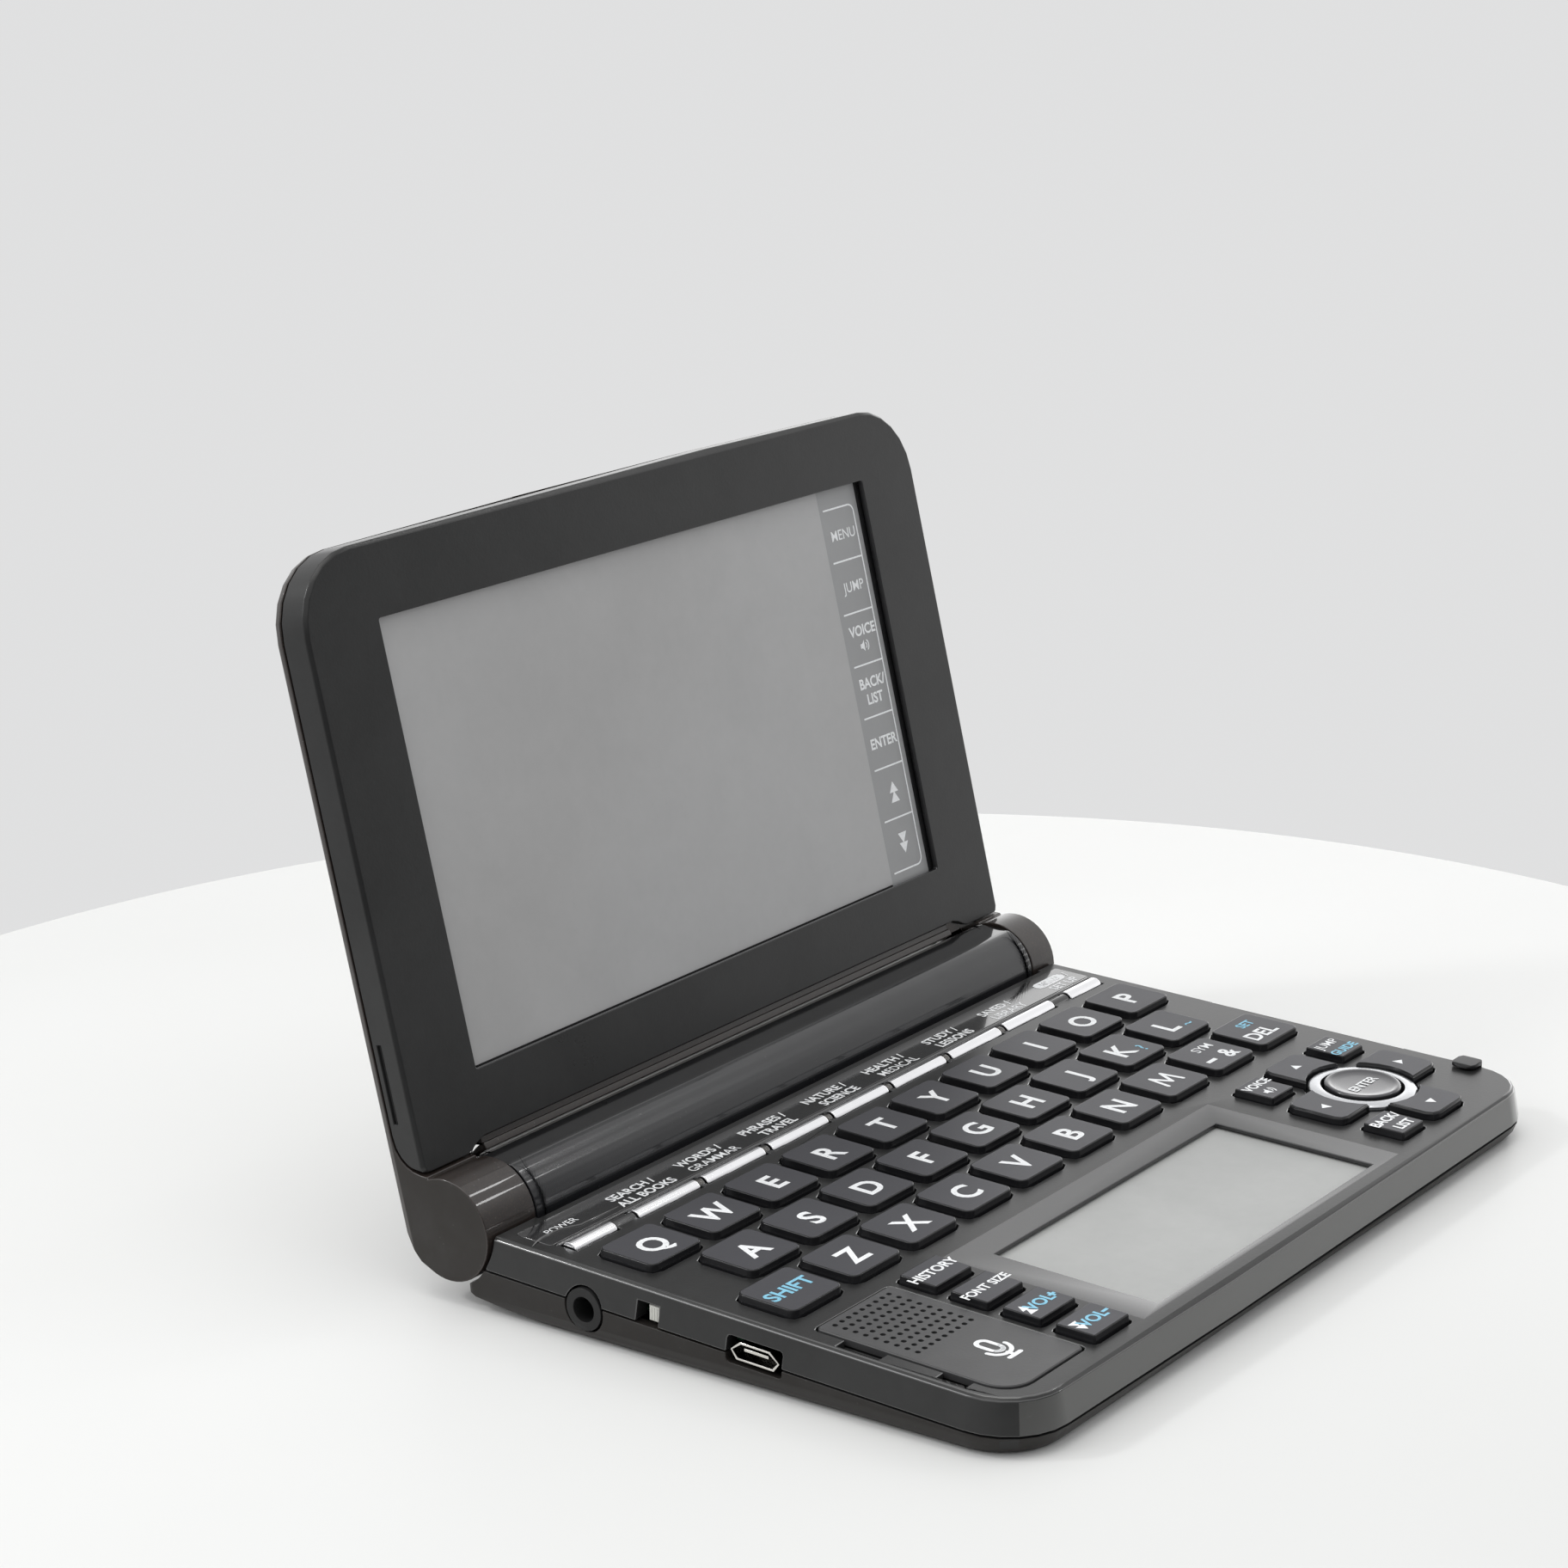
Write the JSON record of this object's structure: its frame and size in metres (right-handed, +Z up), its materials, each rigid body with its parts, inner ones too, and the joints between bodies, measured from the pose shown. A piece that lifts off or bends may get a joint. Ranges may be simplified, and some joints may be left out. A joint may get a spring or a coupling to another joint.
{
  "type": "electronic dictionary",
  "caption": "Clamshell pocket dictionary: letter keys, cursor pad and pen panel in the base, a wide screen in the hinged lid, and a battery barrel along the hinge.",
  "frame": {"origin": "on the flat underside, below the middle of the deck's top face", "axes": "+X to the right of a person who types, +Y from the front edge to the hinge, +Z up from the table"},
  "size_m": [0.148, 0.1301, 0.1089],
  "materials": {
    "charcoal_plastic": "fine-textured matte charcoal",
    "brown_gloss": "dark brown pearl gloss",
    "key_plastic": "satin dark slate",
    "key_plating": "bright plating on plastic",
    "ring_metal": "bright satin",
    "display_window": "grey display that is switched off, under a clear window",
    "pen_film": "light grey pen surface, satin",
    "black_plastic": "satin black",
    "switch_plastic": "pale satin",
    "board_laminate": "green laminate with plated sockets",
    "cell_jacket": "plain grey jacket"
  },
  "bodies": {
    "base": {"upper_case": "charcoal_plastic", "lower_case": "brown_gloss", "battery_cells": "cell_jacket", "main_board": "board_laminate", "pen_panel": "pen_film", "speaker_cover": "charcoal_plastic"},
    "lid": {"lid_cover": "brown_gloss", "lid_bezel": "charcoal_plastic", "main_display": "display_window"},
    "battery_door": {"battery_cover": "brown_gloss"},
    "pen": {"stylus": "black_plastic"},
    "power_switch": {"power_switch_slider": "switch_plastic"},
    "cursor_plate": {"cursor_pad": "key_plastic", "cursor_ring": "ring_metal"},
    "key_Q_cap": {"key_Q": "key_plastic"},
    "key_W_cap": {"key_W": "key_plastic"},
    "key_E_cap": {"key_E": "key_plastic"},
    "key_R_cap": {"key_R": "key_plastic"},
    "key_T_cap": {"key_T": "key_plastic"},
    "key_Y_cap": {"key_Y": "key_plastic"},
    "key_U_cap": {"key_U": "key_plastic"},
    "key_I_cap": {"key_I": "key_plastic"},
    "key_O_cap": {"key_O": "key_plastic"},
    "key_P_cap": {"key_P": "key_plastic"},
    "key_A_cap": {"key_A": "key_plastic"},
    "key_S_cap": {"key_S": "key_plastic"},
    "key_D_cap": {"key_D": "key_plastic"},
    "key_F_cap": {"key_F": "key_plastic"},
    "key_G_cap": {"key_G": "key_plastic"},
    "key_H_cap": {"key_H": "key_plastic"},
    "key_J_cap": {"key_J": "key_plastic"},
    "key_K_cap": {"key_K": "key_plastic"},
    "key_L_cap": {"key_L": "key_plastic"},
    "key_shift_cap": {"key_shift": "key_plastic"},
    "key_Z_cap": {"key_Z": "key_plastic"},
    "key_X_cap": {"key_X": "key_plastic"},
    "key_C_cap": {"key_C": "key_plastic"},
    "key_V_cap": {"key_V": "key_plastic"},
    "key_B_cap": {"key_B": "key_plastic"},
    "key_N_cap": {"key_N": "key_plastic"},
    "key_M_cap": {"key_M": "key_plastic"},
    "key_symbol_cap": {"key_symbol": "key_plastic"},
    "key_delete_cap": {"key_delete": "key_plastic"},
    "side_key_1_cap": {"side_key_1": "key_plastic"},
    "side_key_2_cap": {"side_key_2": "key_plastic"},
    "side_key_3_cap": {"side_key_3": "key_plastic"},
    "side_key_4_cap": {"side_key_4": "key_plastic"},
    "key_voice_cap": {"key_voice": "key_plastic"},
    "key_jump_cap": {"key_jump": "key_plastic"},
    "key_back_cap": {"key_back": "key_plastic"},
    "enter_key_cap": {"enter_key": "key_plastic"},
    "power_key_bar": {"power_key": "key_plating"},
    "function_key_1_bar": {"function_key_1": "key_plating"},
    "function_key_2_bar": {"function_key_2": "key_plating"},
    "function_key_3_bar": {"function_key_3": "key_plating"},
    "function_key_4_bar": {"function_key_4": "key_plating"},
    "function_key_5_bar": {"function_key_5": "key_plating"},
    "function_key_6_bar": {"function_key_6": "key_plating"},
    "function_key_7_bar": {"function_key_7": "key_plating"},
    "menu_key_bar": {"menu_key": "key_plating"}
  },
  "joints": [
    {"name": "lid_hinge", "type": "hinge", "parent": "base", "child": "lid", "pos_m": [0, 0.05472, 0.01152], "axis": [1, 0, 0], "range_deg": [-46, 104]},
    {"name": "battery_door_release", "type": "slide", "parent": "base", "child": "battery_door", "axis": [0, 0.0419, -0.9991], "range_m": [0, 0.01]},
    {"name": "stylus_draw", "type": "slide", "parent": "base", "child": "pen", "axis": [0, -0.9991, -0.0419], "range_m": [0, 0.074]},
    {"name": "power_switch_slide", "type": "slide", "parent": "base", "child": "power_switch", "axis": [0, 0.9991, 0.0419], "range_m": [0, 0.0014]},
    {"name": "cursor_plate_press", "type": "slide", "parent": "base", "child": "cursor_plate", "axis": [0, 0.0419, -0.9991], "range_m": [0, 0.0008], "stiffness_N_per_m": 600},
    {"name": "key_Q_press", "type": "slide", "parent": "base", "child": "key_Q_cap", "axis": [0, 0.0419, -0.9991], "range_m": [0, 0.0008], "stiffness_N_per_m": 500},
    {"name": "key_W_press", "type": "slide", "parent": "base", "child": "key_W_cap", "axis": [0, 0.0419, -0.9991], "range_m": [0, 0.0008], "stiffness_N_per_m": 500},
    {"name": "key_E_press", "type": "slide", "parent": "base", "child": "key_E_cap", "axis": [0, 0.0419, -0.9991], "range_m": [0, 0.0008], "stiffness_N_per_m": 500},
    {"name": "key_R_press", "type": "slide", "parent": "base", "child": "key_R_cap", "axis": [0, 0.0419, -0.9991], "range_m": [0, 0.0008], "stiffness_N_per_m": 500},
    {"name": "key_T_press", "type": "slide", "parent": "base", "child": "key_T_cap", "axis": [0, 0.0419, -0.9991], "range_m": [0, 0.0008], "stiffness_N_per_m": 500},
    {"name": "key_Y_press", "type": "slide", "parent": "base", "child": "key_Y_cap", "axis": [0, 0.0419, -0.9991], "range_m": [0, 0.0008], "stiffness_N_per_m": 500},
    {"name": "key_U_press", "type": "slide", "parent": "base", "child": "key_U_cap", "axis": [0, 0.0419, -0.9991], "range_m": [0, 0.0008], "stiffness_N_per_m": 500},
    {"name": "key_I_press", "type": "slide", "parent": "base", "child": "key_I_cap", "axis": [0, 0.0419, -0.9991], "range_m": [0, 0.0008], "stiffness_N_per_m": 500},
    {"name": "key_O_press", "type": "slide", "parent": "base", "child": "key_O_cap", "axis": [0, 0.0419, -0.9991], "range_m": [0, 0.0008], "stiffness_N_per_m": 500},
    {"name": "key_P_press", "type": "slide", "parent": "base", "child": "key_P_cap", "axis": [0, 0.0419, -0.9991], "range_m": [0, 0.0008], "stiffness_N_per_m": 500},
    {"name": "key_A_press", "type": "slide", "parent": "base", "child": "key_A_cap", "axis": [0, 0.0419, -0.9991], "range_m": [0, 0.0008], "stiffness_N_per_m": 500},
    {"name": "key_S_press", "type": "slide", "parent": "base", "child": "key_S_cap", "axis": [0, 0.0419, -0.9991], "range_m": [0, 0.0008], "stiffness_N_per_m": 500},
    {"name": "key_D_press", "type": "slide", "parent": "base", "child": "key_D_cap", "axis": [0, 0.0419, -0.9991], "range_m": [0, 0.0008], "stiffness_N_per_m": 500},
    {"name": "key_F_press", "type": "slide", "parent": "base", "child": "key_F_cap", "axis": [0, 0.0419, -0.9991], "range_m": [0, 0.0008], "stiffness_N_per_m": 500},
    {"name": "key_G_press", "type": "slide", "parent": "base", "child": "key_G_cap", "axis": [0, 0.0419, -0.9991], "range_m": [0, 0.0008], "stiffness_N_per_m": 500},
    {"name": "key_H_press", "type": "slide", "parent": "base", "child": "key_H_cap", "axis": [0, 0.0419, -0.9991], "range_m": [0, 0.0008], "stiffness_N_per_m": 500},
    {"name": "key_J_press", "type": "slide", "parent": "base", "child": "key_J_cap", "axis": [0, 0.0419, -0.9991], "range_m": [0, 0.0008], "stiffness_N_per_m": 500},
    {"name": "key_K_press", "type": "slide", "parent": "base", "child": "key_K_cap", "axis": [0, 0.0419, -0.9991], "range_m": [0, 0.0008], "stiffness_N_per_m": 500},
    {"name": "key_L_press", "type": "slide", "parent": "base", "child": "key_L_cap", "axis": [0, 0.0419, -0.9991], "range_m": [0, 0.0008], "stiffness_N_per_m": 500},
    {"name": "key_shift_press", "type": "slide", "parent": "base", "child": "key_shift_cap", "axis": [0, 0.0419, -0.9991], "range_m": [0, 0.0008], "stiffness_N_per_m": 500},
    {"name": "key_Z_press", "type": "slide", "parent": "base", "child": "key_Z_cap", "axis": [0, 0.0419, -0.9991], "range_m": [0, 0.0008], "stiffness_N_per_m": 500},
    {"name": "key_X_press", "type": "slide", "parent": "base", "child": "key_X_cap", "axis": [0, 0.0419, -0.9991], "range_m": [0, 0.0008], "stiffness_N_per_m": 500},
    {"name": "key_C_press", "type": "slide", "parent": "base", "child": "key_C_cap", "axis": [0, 0.0419, -0.9991], "range_m": [0, 0.0008], "stiffness_N_per_m": 500},
    {"name": "key_V_press", "type": "slide", "parent": "base", "child": "key_V_cap", "axis": [0, 0.0419, -0.9991], "range_m": [0, 0.0008], "stiffness_N_per_m": 500},
    {"name": "key_B_press", "type": "slide", "parent": "base", "child": "key_B_cap", "axis": [0, 0.0419, -0.9991], "range_m": [0, 0.0008], "stiffness_N_per_m": 500},
    {"name": "key_N_press", "type": "slide", "parent": "base", "child": "key_N_cap", "axis": [0, 0.0419, -0.9991], "range_m": [0, 0.0008], "stiffness_N_per_m": 500},
    {"name": "key_M_press", "type": "slide", "parent": "base", "child": "key_M_cap", "axis": [0, 0.0419, -0.9991], "range_m": [0, 0.0008], "stiffness_N_per_m": 500},
    {"name": "key_symbol_press", "type": "slide", "parent": "base", "child": "key_symbol_cap", "axis": [0, 0.0419, -0.9991], "range_m": [0, 0.0008], "stiffness_N_per_m": 500},
    {"name": "key_delete_press", "type": "slide", "parent": "base", "child": "key_delete_cap", "axis": [0, 0.0419, -0.9991], "range_m": [0, 0.0008], "stiffness_N_per_m": 500},
    {"name": "side_key_1_press", "type": "slide", "parent": "base", "child": "side_key_1_cap", "axis": [0, 0.0419, -0.9991], "range_m": [0, 0.0008], "stiffness_N_per_m": 500},
    {"name": "side_key_2_press", "type": "slide", "parent": "base", "child": "side_key_2_cap", "axis": [0, 0.0419, -0.9991], "range_m": [0, 0.0008], "stiffness_N_per_m": 500},
    {"name": "side_key_3_press", "type": "slide", "parent": "base", "child": "side_key_3_cap", "axis": [0, 0.0419, -0.9991], "range_m": [0, 0.0008], "stiffness_N_per_m": 500},
    {"name": "side_key_4_press", "type": "slide", "parent": "base", "child": "side_key_4_cap", "axis": [0, 0.0419, -0.9991], "range_m": [0, 0.0008], "stiffness_N_per_m": 500},
    {"name": "key_voice_press", "type": "slide", "parent": "base", "child": "key_voice_cap", "axis": [0, 0.0419, -0.9991], "range_m": [0, 0.0008], "stiffness_N_per_m": 500},
    {"name": "key_jump_press", "type": "slide", "parent": "base", "child": "key_jump_cap", "axis": [0, 0.0419, -0.9991], "range_m": [0, 0.0008], "stiffness_N_per_m": 500},
    {"name": "key_back_press", "type": "slide", "parent": "base", "child": "key_back_cap", "axis": [0, 0.0419, -0.9991], "range_m": [0, 0.0008], "stiffness_N_per_m": 500},
    {"name": "enter_key_press", "type": "slide", "parent": "base", "child": "enter_key_cap", "axis": [0, 0.0419, -0.9991], "range_m": [0, 0.0008], "stiffness_N_per_m": 500},
    {"name": "power_key_press", "type": "slide", "parent": "base", "child": "power_key_bar", "axis": [0, 0.0419, -0.9991], "range_m": [0, 0.0005], "stiffness_N_per_m": 600},
    {"name": "function_key_1_press", "type": "slide", "parent": "base", "child": "function_key_1_bar", "axis": [0, 0.0419, -0.9991], "range_m": [0, 0.0005], "stiffness_N_per_m": 600},
    {"name": "function_key_2_press", "type": "slide", "parent": "base", "child": "function_key_2_bar", "axis": [0, 0.0419, -0.9991], "range_m": [0, 0.0005], "stiffness_N_per_m": 600},
    {"name": "function_key_3_press", "type": "slide", "parent": "base", "child": "function_key_3_bar", "axis": [0, 0.0419, -0.9991], "range_m": [0, 0.0005], "stiffness_N_per_m": 600},
    {"name": "function_key_4_press", "type": "slide", "parent": "base", "child": "function_key_4_bar", "axis": [0, 0.0419, -0.9991], "range_m": [0, 0.0005], "stiffness_N_per_m": 600},
    {"name": "function_key_5_press", "type": "slide", "parent": "base", "child": "function_key_5_bar", "axis": [0, 0.0419, -0.9991], "range_m": [0, 0.0005], "stiffness_N_per_m": 600},
    {"name": "function_key_6_press", "type": "slide", "parent": "base", "child": "function_key_6_bar", "axis": [0, 0.0419, -0.9991], "range_m": [0, 0.0005], "stiffness_N_per_m": 600},
    {"name": "function_key_7_press", "type": "slide", "parent": "base", "child": "function_key_7_bar", "axis": [0, 0.0419, -0.9991], "range_m": [0, 0.0005], "stiffness_N_per_m": 600},
    {"name": "menu_key_press", "type": "slide", "parent": "base", "child": "menu_key_bar", "axis": [0, 0.0419, -0.9991], "range_m": [0, 0.0005], "stiffness_N_per_m": 600}
  ]
}
